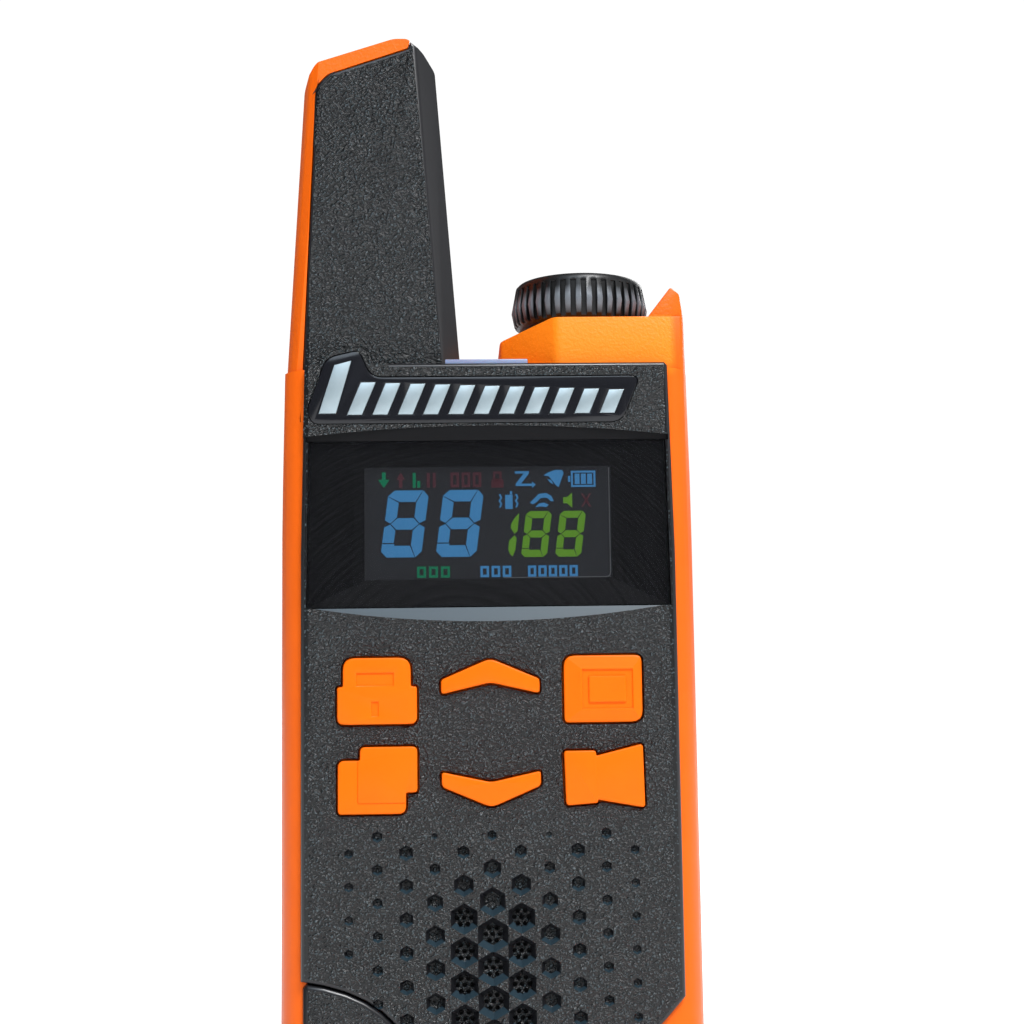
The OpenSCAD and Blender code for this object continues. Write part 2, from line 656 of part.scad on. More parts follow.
module belt_clip() color("#26282b") difference() {
    union() {
        along_x(-clip_w / 2, clip_w / 2) polygon([
            [arm_y, 74], [arm_y, 24], [arm_y - 1.2, 21.5], [back + 0.8, 22.4], [back + 0.6, 21.2],
            [arm_y - 0.8, 18.4], [arm_y + 1.2, 19.4], [arm_y + 2, 22.4], [arm_y + 2, 66],
            [arm_y + 2.8, 70], [arm_y + 2.8, 74], [arm_y + 2, 74.6], [arm_y + 0.6, 74.6]]);
        facing_right([-2, pivot_y, pivot_z]) cylinder(r = 2.1, h = 4);
        block([-2, pivot_y, pivot_z - 2], [2, arm_y + 0.5, pivot_z + 2]);
    }
    facing_right([-3, pivot_y, pivot_z]) cylinder(r = 1.06, h = 6);
}

module clip_pin() color(silver) facing_right([-7.2, pivot_y, pivot_z]) cylinder(r = 1, h = 14.4);

module clip_spring() color(silver) for (x = [-4.5, 2.5])
    facing_right([x, pivot_y, pivot_z]) helix(1.6, 0.3, 3, 0.66);

module case_screws() color("#55585c") for (s = screw_spots) {
    facing_back([s[0], s[1] - 11.4, s[2]]) cylinder(r = 1, h = 10.1);
    facing_back([s[0], s[1] - 1.4, s[2]]) difference() {
        cylinder(r = 2, h = 1.4);
        for (a = [0, 90]) rotate([0, 0, a]) translate([-1.3, -0.25, 0.8]) cube([2.6, 0.5, 1]);
    }
}

rear_shell();
front_cover();
lower_trim();
badge_plate();
badge_mark();
light_bar();
light_led();
display_window();
window_mask();
lcd_panel();
lcd_backlight();
lcd_frame();
key_lock();
key_up();
key_menu();
key_copy();
key_down();
key_call();
keypad_mat();
key_domes();
main_board();
rf_shield();
board_chips();
speaker_frame();
speaker_cone();
speaker_magnet();
speaker_felt();
microphone();
microphone_boot();
antenna_core();
antenna_coil();
antenna_feed();
volume_control();
control_nut();
control_shaft();
volume_knob();
ptt_button();
ptt_switch();
headset_jack();
charge_port();
port_flap();
battery_pack();
battery_contacts();
battery_door();
belt_clip();
clip_pin();
clip_spring();
case_screws();
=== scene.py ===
# %% [markdown]
# # A compact two way radio
# The engineered model is loaded first. It fixes every size, so each piece made here takes its
# place from it and none of it is moved. This lesson gives the radio its edges, relief and finishes.

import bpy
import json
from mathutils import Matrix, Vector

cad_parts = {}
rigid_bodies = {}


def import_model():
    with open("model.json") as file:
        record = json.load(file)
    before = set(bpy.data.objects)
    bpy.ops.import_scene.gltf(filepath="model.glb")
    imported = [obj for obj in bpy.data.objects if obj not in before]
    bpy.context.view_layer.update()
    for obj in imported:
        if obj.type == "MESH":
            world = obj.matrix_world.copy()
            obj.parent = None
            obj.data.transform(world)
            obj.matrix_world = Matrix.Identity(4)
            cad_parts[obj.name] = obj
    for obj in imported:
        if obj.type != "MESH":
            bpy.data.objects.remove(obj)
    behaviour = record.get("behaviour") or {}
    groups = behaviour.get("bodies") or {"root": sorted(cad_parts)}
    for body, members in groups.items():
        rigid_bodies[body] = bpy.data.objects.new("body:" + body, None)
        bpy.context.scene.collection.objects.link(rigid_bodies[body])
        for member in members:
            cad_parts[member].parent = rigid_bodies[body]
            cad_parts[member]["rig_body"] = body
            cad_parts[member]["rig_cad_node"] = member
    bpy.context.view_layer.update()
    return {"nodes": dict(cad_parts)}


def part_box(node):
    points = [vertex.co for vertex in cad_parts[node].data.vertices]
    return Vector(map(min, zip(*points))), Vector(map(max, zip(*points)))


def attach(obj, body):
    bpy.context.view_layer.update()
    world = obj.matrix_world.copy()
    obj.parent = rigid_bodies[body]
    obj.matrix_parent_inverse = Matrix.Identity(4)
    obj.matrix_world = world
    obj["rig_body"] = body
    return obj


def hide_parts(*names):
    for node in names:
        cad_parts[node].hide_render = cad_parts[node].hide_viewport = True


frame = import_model()

# %% [markdown]
# ## The camera
# A hand-held camera a little below the display looks slightly up, so the antenna leans away and
# the sides of the shell narrow towards the top. It is placed first, because every later choice of
# edge width and grain is judged through it.

# %% Camera
import json
from math import radians

import bmesh
import bpy
from mathutils import Quaternion, Vector

EYE, AIM, ROLL = Vector((-0.004, -0.240, 0.060)), Vector((0.0032, -0.0135, 0.0855)), -0.77
camera = bpy.data.objects.new("camera", bpy.data.cameras.new("camera"))
bpy.context.scene.collection.objects.link(camera)
camera.data.lens, camera.data.sensor_width = 59.8, 36
camera.data.clip_start = 0.01
camera.location = EYE
camera.rotation_mode = "QUATERNION"
turn = Quaternion((0, 0, 1), radians(ROLL))
camera.rotation_quaternion = (AIM - EYE).to_track_quat("-Z", "Y") @ turn
bpy.context.scene.camera = camera
print("camera distance:", round((AIM - EYE).length, 3), "m")

# %% [markdown]
# ## Working by hand, in code
# Blender's operators act on what is selected. These helpers choose one piece, open it, and select
# the edges wanted by their place, just as a hand would click on them. Sizes are in millimetres,
# because that is what the radio is drawn in.

# %% Selecting
MM = 0.001


def deselect():
    """Leaves edit mode and selects nothing."""
    if bpy.context.object and bpy.context.object.mode == "EDIT":
        bpy.ops.object.mode_set(mode="OBJECT")
    bpy.ops.object.select_all(action="DESELECT")


def take(piece):
    """Makes a piece the only selected one."""
    deselect()
    piece.select_set(True)
    bpy.context.view_layer.objects.active = piece
    return piece


def middle(edge):
    """The middle of an edge, in mm."""
    return sum((v.co for v in edge.verts), Vector()) / 2 / MM


def pick(piece, wanted):
    """Opens a piece in edit mode with only the wanted edges selected, and says how many."""
    take(piece)
    bpy.ops.object.mode_set(mode="EDIT")
    bpy.ops.mesh.select_mode(type="EDGE")
    bpy.ops.mesh.select_all(action="DESELECT")
    mesh = bmesh.from_edit_mesh(piece.data)
    chosen = [edge for edge in mesh.edges if wanted(edge)]
    for edge in chosen:
        edge.select_set(True)
    mesh.select_flush_mode()
    bmesh.update_edit_mesh(piece.data)
    return len(chosen)


# %% [markdown]
# ## Rounded edges
# No moulded edge is perfectly sharp: the tool's corners, polishing and shrinkage round it by a few
# tenths of a millimetre, and that thin rounding is what catches the light. A copy of the
# engineered piece is merged into clean faces, and its sharp edges are bevelled. Modelling each
# piece again would give the same look with more risk to the fit.

# %% Copying and softening
def copy_of(node, name, triangles=False):
    """A copy of an engineered piece, with its loose triangles merged into clean faces.

    triangles=True divides the faces evenly again, because one with many holes rounds badly."""
    take(frame["nodes"][node])
    bpy.ops.object.duplicate(linked=False)
    piece = bpy.context.object
    bpy.ops.object.parent_clear(type="CLEAR_KEEP_TRANSFORM")
    piece.name = piece.data.name = name
    del piece["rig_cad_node"], piece["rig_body"]
    bpy.ops.mesh.customdata_custom_splitnormals_clear()
    bpy.ops.object.mode_set(mode="EDIT")
    bpy.ops.mesh.select_all(action="SELECT")
    bpy.ops.mesh.remove_doubles(threshold=1e-6)
    bpy.ops.mesh.dissolve_limited(angle_limit=radians(0.6))
    if triangles:
        bpy.ops.mesh.select_all(action="SELECT")
        bpy.ops.mesh.quads_convert_to_tris(quad_method="BEAUTY", ngon_method="BEAUTY")
    bpy.ops.object.mode_set(mode="OBJECT")
    return piece


def sharp(edge, least):
    """Is this an outward edge between two faces that meet at more than least degrees?"""
    return (len(edge.link_faces) == 2 and edge.is_convex
            and edge.calc_face_angle(0) > radians(least))


def soften(piece, width, steps, wanted=lambda m: True, least=28):
    """Rounds the sharp edges whose middle is wanted, by a width in mm."""
    count = pick(piece, lambda edge: sharp(edge, least) and wanted(middle(edge)))
    if count:
        bpy.ops.mesh.bevel(offset=width * MM, segments=steps, profile=0.5, affect="EDGES",
                           clamp_overlap=False)
    bpy.ops.object.mode_set(mode="OBJECT")
    return count


def place(piece, body, slot, finishes, *nodes, angle=35):
    """Shades a finished piece, gives it its finishes and lets it ride on its body."""
    take(piece)
    piece.data.materials.clear()
    for finish in finishes:
        piece.data.materials.append(finish)
    bpy.ops.object.shade_smooth_by_angle(angle=radians(angle))
    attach(piece, body)
    if nodes:
        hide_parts(*nodes)
    print(f"{piece.name}: {len(piece.data.polygons)} faces")
    return piece


# %% [markdown]
# ## Pieces cut to an outline
# Display segments, ribs and marks are small flat pieces. Each starts as a filled circle with as
# many corners as the outline has, its corners are pulled onto the outline, and the face is
# extruded to its thickness.

# %% Cut-outs and grooves
AXES = {"x": (1, 2, 0), "y": (0, 2, 1), "z": (0, 1, 2)}


def slab(name, outline, start, end, along="y"):
    """A flat piece with a drawn outline in mm, extruded along an axis from start to end."""
    a, b, depth = AXES[along]
    deselect()
    bpy.ops.mesh.primitive_circle_add(vertices=len(outline), radius=1, fill_type="NGON")
    piece = bpy.context.object
    piece.name = piece.data.name = name
    for corner, spot in zip(piece.data.vertices, outline):
        corner.co[a], corner.co[b], corner.co[depth] = spot[0] * MM, spot[1] * MM, start * MM
    step = [0, 0, 0]
    step[depth] = (end - start) * MM
    bpy.ops.object.mode_set(mode="EDIT")
    bpy.ops.mesh.select_all(action="SELECT")
    bpy.ops.mesh.extrude_region_move(TRANSFORM_OT_translate={"value": step})
    bpy.ops.mesh.select_all(action="SELECT")
    bpy.ops.mesh.normals_make_consistent(inside=False)
    bpy.ops.object.mode_set(mode="OBJECT")
    return piece


def join(name, pieces):
    """Several meshes as one piece."""
    take(pieces[0])
    for piece in pieces:
        piece.select_set(True)
    bpy.ops.object.join()
    pieces[0].name = pieces[0].data.name = name
    return pieces[0]


def carve(piece, cutter):
    """Takes the cutter's shape out of a piece."""
    take(piece)
    cut = piece.modifiers.new("carve", "BOOLEAN")
    cut.operation, cut.object, cut.solver = "DIFFERENCE", cutter, "EXACT"
    bpy.ops.object.modifier_apply(modifier=cut.name)
    bpy.data.objects.remove(cutter)
    return piece


def box_outline(low_a, high_a, low_b, high_b):
    """The four corners of a rectangle."""
    return [(low_a, low_b), (high_a, low_b), (high_a, high_b), (low_a, high_b)]


# %% [markdown]
# ## Materials
# Every finish is a Principled surface with a fine pattern that reads the piece's own coordinates,
# so its scale is a real one: a grain of 0.4 mm has a noise scale of 1 / 0.0004. One helper adds a
# node, and one recipe covers the moulded and metal parts, which differ in their numbers.

# %% Colour and nodes
def linear(code):
    """An sRGB hex colour as the linear numbers that a shader takes."""
    parts = [int(code[i:i + 2], 16) / 255 for i in (1, 3, 5)]
    return [p / 12.92 if p <= 0.04045 else ((p + 0.055) / 1.055) ** 2.4 for p in parts] + [1]


def add(tree, kind, inputs={}, **settings):
    """Adds a node, with its settings, and links or values for its inputs."""
    node = tree.nodes.new(kind)
    for key, value in settings.items():
        setattr(node, key, value)
    for key, value in inputs.items():
        if isinstance(value, bpy.types.NodeSocket):
            tree.links.new(value, node.inputs[key])
        else:
            node.inputs[key].default_value = value
    return node


def finish(name, colour, second, roughness, grain, depth, metallic=0, stretch=(1, 1, 1), **more):
    """A surface whose colour wanders between two tones, with a fine relief.

    grain is the size of the relief in mm and depth its height in mm."""
    material = bpy.data.materials.new(name)
    material.use_nodes = True
    tree = material.node_tree
    shader = tree.nodes["Principled BSDF"]
    shader.inputs["Roughness"].default_value = roughness
    shader.inputs["Metallic"].default_value = metallic
    for key, value in more.items():
        shader.inputs[key.replace("_", " ")].default_value = value
    spot = add(tree, "ShaderNodeTexCoord").outputs["Object"]
    place_on = add(tree, "ShaderNodeMapping", {"Vector": spot, "Scale": stretch}).outputs[0]
    tone = add(tree, "ShaderNodeTexNoise", {"Vector": place_on, "Scale": 1 / (grain * 6 * MM),
                                            "Detail": 3, "Roughness": 0.6})
    shade = add(tree, "ShaderNodeMix", {0: tone.outputs["Fac"], 6: linear(colour),
                                        7: linear(second)}, data_type="RGBA")
    relief = add(tree, "ShaderNodeTexNoise", {"Vector": place_on, "Scale": 1 / (grain * MM),
                                              "Detail": 2, "Roughness": 0.55})
    bump = add(tree, "ShaderNodeBump", {"Height": relief.outputs["Fac"], "Strength": 1,
                                        "Distance": depth * MM})
    tree.links.new(shade.outputs[2], shader.inputs["Base Color"])
    tree.links.new(bump.outputs[0], shader.inputs["Normal"])
    return material


# %% [markdown]
# ### Plastics
# The shell, the keys and the cover are injection-moulded ABS. The keys come from a finely
# polished tool, which gives them a satin look with hardly a highlight, and rubbery parts are
# duller. Glass-filled nylon shows its fibres as a coarse dull grain, and felt and paper scatter
# all their light.

# %% Plain plastics and rubbers
orange_key = finish("satin_orange_abs_key", "#ff6e03", "#fb6803", 0.36, 0.6, 0.003,
                    Specular_IOR_Level=0.14)
soft_orange = finish("orange_tpe_flap", "#ee6e12", "#e3640e", 0.6, 0.4, 0.008)
black_smooth = finish("black_abs_polished_edge", "#141417", "#18181b", 0.3, 0.5, 0.002)
# painted shade: the brow's underside is made darker and less shiny than the rest of the cover
black_shade = finish("black_abs_underside_painted_shade", "#0f0f11", "#131315", 0.7, 0.5, 0.002,
                     Specular_IOR_Level=0.15)
# painted reflection: the upward-looking facets get a cool bluish grey for the light they mirror
facet_painted_sheen = finish("black_abs_facet_painted_sheen", "#26363f", "#22323b", 0.34, 0.5, 0.001)
knob_black = finish("black_abs_knob", "#292a2d", "#323437", 0.4, 0.35, 0.006)
soft_black = finish("black_tpe_button", "#232426", "#2b2c2e", 0.62, 0.3, 0.01)
socket_black = finish("black_nylon_socket", "#1b1c1e", "#232426", 0.5, 0.4, 0.006)
clip_black = finish("black_glass_filled_nylon_clip", "#202123", "#2a2b2d", 0.5, 0.25, 0.012)
sleeve = finish("blue_pvc_battery_sleeve", "#23407a", "#1c356a", 0.32, 1.5, 0.02)
chip_resin = finish("black_epoxy_chip", "#1c1d1f", "#26282a", 0.55, 0.2, 0.004)
nylon = finish("natural_nylon_former", "#e6e3d8", "#d9d5c7", 0.5, 0.6, 0.006)
silicone = finish("grey_silicone_mat", "#c9cbc8", "#bfc1be", 0.6, 0.5, 0.006)
ferrite = finish("sintered_ferrite_magnet", "#3c3d40", "#4a4b4e", 0.55, 0.3, 0.01)
paper = finish("black_paper_cone", "#1f2022", "#2b2b2d", 0.85, 0.25, 0.03)
felt = finish("black_felt_dust_cloth", "#141415", "#222223", 0.95, 0.15, 0.05)
diffuser = finish("white_acrylic_diffuser", "#eef0f2", "#e2e5e9", 0.4, 0.8, 0.002)
board = finish("green_solder_mask_board", "#1b5f35", "#16512c", 0.35, 1.2, 0.01)

# %% [markdown]
# ### Metals
# Screws, pins and springs are nickel-plated steel, the contacts gold-plated, and the cans are
# tinned sheet. A metal's colour is its reflection, so each keeps the default index of refraction.

# %% Metals
steel = finish("nickel_plated_steel", "#b9b8b4", "#a3a29e", 0.28, 0.5, 0.004, 1)
gold = finish("gold_plated_contact", "#e0b860", "#d1a54a", 0.25, 0.4, 0.003, 1)
can = finish("tinned_steel_can", "#b4b8bc", "#9ba0a5", 0.35, 1.0, 0.006, 1, (1, 1, 6))
copper = finish("enamelled_copper_wire", "#c56a34", "#a9552a", 0.25, 0.5, 0.003, 1)

# %% [markdown]
# ### The orange shell
# The shell is a saturated orange. On the pedestal's and the antenna's forward faces the tool has
# a spark-erosion finish, which leaves a speckle of about 0.45 mm. The pedestal's front is painted a
# paler, yellower orange, a painted highlight for the light it catches. Everywhere else the tool
# was wiped smooth.

# %% Orange shell
ERODED_FROM, ERODED_BY = 104.0, 106.2  # the speckle grows between these heights, in mm
SMOOTH_SIDE, ERODED_SIDE = 26.2, 25.2  # and from the right side inwards
# the pedestal's painted highlight lies within these x and z limits
PEDESTAL_LEFT, PEDESTAL_RIGHT = -2.0, 1.0  # the paler tone starts to the right of the antenna
PEDESTAL_END, PEDESTAL_TOP = 113.1, 112.6  # and stops under the guard
SPECKLE, SPECKLE_DEPTH, SMOOTH_DEPTH = 0.45, 0.09, 0.004


def fade(tree, value, start, end):
    """0 where a coordinate is at start and 1 where it is at end, both in mm."""
    return add(tree, "ShaderNodeMapRange", {0: value, 1: start * MM, 2: end * MM}).outputs[0]


def times(tree, one, other):
    """The product of two patterns."""
    return add(tree, "ShaderNodeMath", {0: one, 1: other}, operation="MULTIPLY").outputs[0]


def orange_abs(name, colour, second, highlight_tone, roughness):
    """Orange plastic with a speckle above the shoulders and a painted highlight on the pedestal."""
    material = finish(name, colour, second, roughness, 0.9, 0.004, Specular_IOR_Level=0.2)
    tree = material.node_tree
    shader = tree.nodes["Principled BSDF"]
    spot = add(tree, "ShaderNodeTexCoord").outputs["Object"]
    part = add(tree, "ShaderNodeSeparateXYZ", {0: spot}).outputs
    where = times(tree, fade(tree, part["Z"], ERODED_FROM, ERODED_BY),
                  fade(tree, part["X"], SMOOTH_SIDE, ERODED_SIDE))
    amount = add(tree, "ShaderNodeMath", {0: where, 1: SPECKLE_DEPTH * MM, 2: SMOOTH_DEPTH * MM},
                 operation="MULTIPLY_ADD")
    speckle = add(tree, "ShaderNodeTexNoise", {"Vector": spot, "Scale": 1 / (SPECKLE * MM),
                                               "Detail": 3, "Roughness": 0.6})
    bump = add(tree, "ShaderNodeBump", {"Height": speckle.outputs["Fac"], "Strength": 1,
                                        "Distance": amount.outputs[0]})
    tree.links.new(bump.outputs[0], shader.inputs["Normal"])
    plain = shader.inputs["Base Color"].links[0].from_socket
    # painted highlight: the pedestal's front gets the paler, yellower tone
    pedestal = times(tree, fade(tree, part["Z"], PEDESTAL_END, PEDESTAL_TOP),
                     fade(tree, part["X"], PEDESTAL_LEFT, PEDESTAL_RIGHT))
    tone = add(tree, "ShaderNodeMix", {0: times(tree, where, pedestal), 6: plain,
                                       7: linear(highlight_tone)}, data_type="RGBA")
    tree.links.new(tone.outputs[2], shader.inputs["Base Color"])
    return material


# ff8516 is the pedestal's painted highlight
orange_shell = orange_abs("moulded_orange_abs_shell", "#f26606", "#e85f05", "#ff8516", 0.42)

# %% [markdown]
# ### The grained black cover
# The cover's tool is etched with a leather grain: rounded pebbles about 0.36 mm across. Their
# tops are painted a pale cool grey, a painted sheen, and the creases between them near black, a
# painted shade. Smooth cell noise gives the pebbles, and a second noise bends the cells so that
# no two are alike. The outer millimetre of the cover is left smooth, which draws a dark line
# round it.

# %% Grained black
def leather_abs(name, colour, second, roughness, pebble, depth, edge):
    """Black leather-grained plastic with a painted sheen on its pebbles and painted shade in its
    creases. pebble and depth are in mm; past x = edge mm it is smooth.
    """
    material = bpy.data.materials.new(name)
    material.use_nodes = True
    tree = material.node_tree
    shader = tree.nodes["Principled BSDF"]
    shader.inputs["Roughness"].default_value = roughness
    spot = add(tree, "ShaderNodeTexCoord").outputs["Object"]
    waver = add(tree, "ShaderNodeTexNoise", {"Vector": spot, "Scale": 1 / (pebble * 1.5 * MM),
                                             "Detail": 2})
    bent = add(tree, "ShaderNodeVectorMath", {0: waver.outputs["Color"], 1: (0.5, 0.5, 0.5)},
               operation="SUBTRACT")
    by = add(tree, "ShaderNodeVectorMath", {0: bent.outputs[0], "Scale": pebble * 1.3 * MM},
             operation="SCALE")
    at = add(tree, "ShaderNodeVectorMath", {0: spot, 1: by.outputs[0]})
    cells = add(tree, "ShaderNodeTexVoronoi", {"Vector": at.outputs[0], "Smoothness": 0.6,
                                               "Scale": 1 / (pebble * MM)},
                feature="SMOOTH_F1")
    fine = add(tree, "ShaderNodeTexNoise", {"Vector": spot, "Scale": 1 / (pebble * 0.4 * MM),
                                            "Detail": 2})
    height = add(tree, "ShaderNodeMath", {0: fine.outputs["Fac"], 1: 0.35,
                                          2: cells.outputs["Distance"]},
                 operation="MULTIPLY_ADD")
    # painted shade in the creases and a painted cool sheen on the pebble tops
    shade_and_sheen = add(tree, "ShaderNodeMapRange", {0: cells.outputs["Distance"], 1: 0.06, 2: 0.36})
    tone = add(tree, "ShaderNodeMix", {0: shade_and_sheen.outputs[0], 6: linear(second),
                                       7: linear(colour)}, data_type="RGBA")
    part = add(tree, "ShaderNodeSeparateXYZ", {0: spot})
    side = add(tree, "ShaderNodeMath", {0: part.outputs["X"]}, operation="ABSOLUTE")
    grained = add(tree, "ShaderNodeMapRange", {0: side.outputs[0], 1: edge * MM,
                                               2: (edge - 0.25) * MM, 3: 0, 4: depth * MM})
    bump = add(tree, "ShaderNodeBump", {"Height": height.outputs[0], "Strength": 1,
                                        "Distance": grained.outputs[0]}, invert=True)
    tree.links.new(tone.outputs[2], shader.inputs["Base Color"])
    tree.links.new(bump.outputs[0], shader.inputs["Normal"])
    return material


# 4b575c is the pebble tops' painted sheen, #020304 the creases' painted shade
grained = leather_abs("leather_grained_black_abs", "#020304", "#4b575c", 0.26, 0.36, 0.34, 24.05)

# %% [markdown]
# ### Inlay, ink and light pipe
# The name plate is a gloss-black acrylic inlay with a silver hot-foil mark. The bar on top is a
# frosted light pipe, milky with a touch of lavender.

# %% Inlay, ink, light pipe
gloss = finish("gloss_black_acrylic_inlay", "#101116", "#15161b", 0.14, 2.0, 0.001)
silver = finish("silver_foil_ink", "#b4c2c8", "#9fb0b6", 0.34, 0.3, 0.003, 0.55)
frosted = finish("frosted_acrylic_light_pipe", "#8690ae", "#7682a2", 0.35, 0.8, 0.004,
                 Subsurface_Weight=0.4, Subsurface_Scale=0.001)
led_lens = finish("clear_epoxy_led", "#fff2c8", "#ffe9a8", 0.2, 0.5, 0.001)

# %% [markdown]
# ### The display
# The window is tinted polycarbonate, printed black from behind round the display. Tinted clear
# plastic is drawn as part see-through, which lets light reach the display without slow refracted
# rays. The display's colours come from filters over a backlight. The glass and its marks are also
# given a faint painted glow, which stands in for the light that the tinted window holds back.

# %% Window and display
window = finish("tinted_polycarbonate_window", "#0b0c10", "#0d0e12", 0.06, 3.0, 0.0004,
                Alpha=0.42)
window_print = finish("black_screen_print", "#202022", "#252527", 0.5, 0.4, 0.002)
# the grey glass glows a little: painted light for what the window holds back
lcd_glass = finish("grey_display_glass_painted_glow", "#3c3e42", "#35373b", 0.2, 1.5, 0.0005,
                   Emission_Color=linear("#4a4c50"), Emission_Strength=0.5)


def lit(name, colour, strength):
    """A display colour with a little painted glow."""
    return finish(name, colour, colour, 0.4, 0.5, 0.0005, Emission_Color=linear(colour),
                  Emission_Strength=strength)


lit_blue = lit("blue_display_filter", "#4f9ad6", 0.95)
lit_green = lit("green_display_filter", "#74b034", 0.85)
lit_teal = lit("teal_display_filter", "#149468", 0.75)
lit_red = lit("dim_red_display_filter", "#74424c", 0.35)
painted_edge_glint = lit("painted_glass_edge_glint", "#8d9094", 0.25)

# %% [markdown]
# ## The rear shell
# One orange moulding holds everything: the bowed back, the pedestal under the knob, the pointed
# guard beside it and the back half of the antenna. Its outer edges are softened by a third of a
# millimetre, and the inner ribs, which nobody sees, stay as engineered.

# %% Rear shell
def outside_shell(m):
    """True for the shell's outer edges, away from the seams with the cover and the doors."""
    on_antenna = m.z > 106 and m.x < -2 and m.y > -6.4
    on_pedestal = m.z > 110.7 and m.x > 1
    by_fin = m.x > 26 and 100 < m.z < 114.2
    return (on_antenna or on_pedestal or m.z < 0.3 or m.y > 13.5) and not by_fin


shell = copy_of("rear_shell", "shell")
rounded_edges = soften(shell, 0.3, 2, outside_shell, 30)
print("shell edges rounded:", rounded_edges)
place(shell, "radio_body", "orange_shell", [orange_shell], "rear_shell")

# %% [markdown]
# ## The front cover
# The cover has a smooth rounded rim, a sunken window with a polished facet above and below it,
# and a grille of tapered hexagons. Its face is full of holes, which a bevel of the rim would
# tangle, so the rim is cut instead: a rounded slab with the cover's outline is taken out of a
# block, and what is left of the block is taken off the cover. The tab at the upper left keeps
# its own edge.

# %% Front cover
def curve(start, bend, end, steps):
    """Points on a curve that leaves start towards bend and arrives at end."""
    points = []
    for n in range(steps):
        t = n / steps
        points.append(tuple(a * (1 - t) ** 2 + 2 * b * t * (1 - t) + c * t * t
                            for a, b, c in zip(start, bend, end)))
    return points


COVER_OUTLINE = (
    curve((-25, 24.5), (-15, 23.2), (-11.4, 17), 6) + curve((-11.4, 17), (-6.2, 7.6), (1, 5), 6)
    + [(1, 5)] + curve((6, 5), (15, 10.4), (25, 21.8), 8)
    + [(25, 21.8), (25, 80), (24.5, 105.4), (24.1, 105.8), (-24.1, 105.8), (-24.5, 105.4),
       (-25, 80)])
COVER_FACE, COVER_MIDDLE = -14, 55
HAIR = 0.9996  # the shape is a hair smaller than the cover, so that no two walls coincide
RIM_ROUND, RIM_DEPTH = 0.5, 0.7
rim = slab("rim", [(x * HAIR, COVER_MIDDLE + (z - COVER_MIDDLE) * HAIR)
                   for x, z in COVER_OUTLINE], COVER_FACE - 0.004, COVER_FACE + 1.1)
soften(rim, RIM_ROUND, 4, lambda m: m.y < COVER_FACE, 60)
outside = slab("outside", box_outline(-32, 32, -6, 112), COVER_FACE - 1, COVER_FACE + RIM_DEPTH)
carve(outside, rim)
carve(outside, slab("tab", box_outline(-40, -13.2, 95.6, 120), COVER_FACE - 2, COVER_FACE + 2))
cover = copy_of("front_cover", "cover", triangles=True)
carve(cover, outside)
print("antenna edges:", soften(cover, 0.35, 2, lambda m: m.z > 109 and m.y < -11.2, 20))
print("lip edges:", soften(cover, 0.1, 2, lambda m: m.y < -14.1, 40))
place(cover, "radio_body", "grained_cover", [black_smooth, grained, black_shade, facet_painted_sheen],
      "front_cover", angle=30)

# %% [markdown]
# ### Which black goes where
# Four finishes share the cover. Its grain faces forward only. The brow's underside is painted
# darker and duller than the rest, a painted shade, and the facets that look up, below the window
# and in the grille's cells, are painted a cool bluish grey, a painted reflection of the light
# above.
# A hand would select these faces and assign a slot; here each face is asked where it is and where
# it looks.

# %% The cover's finishes
SMOOTH, GRAINED, SHADED, PAINTED_SHEEN = range(4)


def finish_by(piece, wanted):
    """Gives each face the finish whose number is wanted for its middle and normal."""
    for face in piece.data.polygons:
        face.material_index = wanted(face.center / MM, face.normal)


def cover_finish(m, n):
    """The finish for a face of the cover, from its middle and its normal."""
    under_brow = 93 < m.z < 98.5 and n.z < -0.1
    below_window = 70 < m.z < 76.5 and 0.1 < n.z < 0.9 and m.y < -13 and abs(m.x) < 22
    in_grille = m.z < 46 and n.z > 0.2 and n.y < -0.2 and m.y > -13.98
    # the brow's downward faces take the painted shade
    if under_brow:
        return SHADED
    # the upward-looking facets take the painted reflection
    if below_window or in_grille:
        return PAINTED_SHEEN
    return GRAINED if n.y < -0.985 else SMOOTH


finish_by(cover, cover_finish)

# %% [markdown]
# ### The lower corner
# Below the cover's swoop lies a separate black panel with the same grain. Its wide rounded edge
# makes, with the cover's own, the smooth dark valley between the two.

# %% Lower corner
trim = copy_of("lower_trim", "lower_corner_trim")
print("trim edges:", soften(trim, 0.6, 3, lambda m: m.y < -13.6, 40))
place(trim, "radio_body", "grained_cover", [black_smooth, grained], "lower_trim")
finish_by(trim, lambda m, n: GRAINED if n.y < -0.98 else SMOOTH)

# %% [markdown]
# ## The name plate
# A gloss inlay sits in a slanted recess on the brow, with a raised tab at its left end. In place
# of a name it carries a plain row of slanted bars.

# %% Name plate
plate = copy_of("badge_plate", "name_plate")
soften(plate, 0.12, 2, lambda m: m.y < -13.85, 40)
place(plate, "radio_body", "gloss_inlay", [gloss], "badge_plate")
bars = copy_of("badge_mark", "silver_bars")
soften(bars, 0.06, 2, lambda m: m.y < -13.9, 40)
place(bars, "radio_body", "silver_print", [silver], "badge_mark")

pipe = copy_of("light_bar", "top_light_pipe")
soften(pipe, 0.15, 2)
place(pipe, "radio_body", "light_pipe", [frosted], "light_bar")

# %% [markdown]
# ## The keys
# The six keys are one orange moulding each, standing half a millimetre proud, with soft edges and
# a drawing in low relief that a fingertip can feel: a padlock, arrows, a frame, two sheets and a
# horn. The frame's key slopes down to its edges, and the lower sheet lies a step below the
# upper one. Both are cut with a block, because a cut leaves crisp creases where an inset would
# have to follow the drawing's own edges.

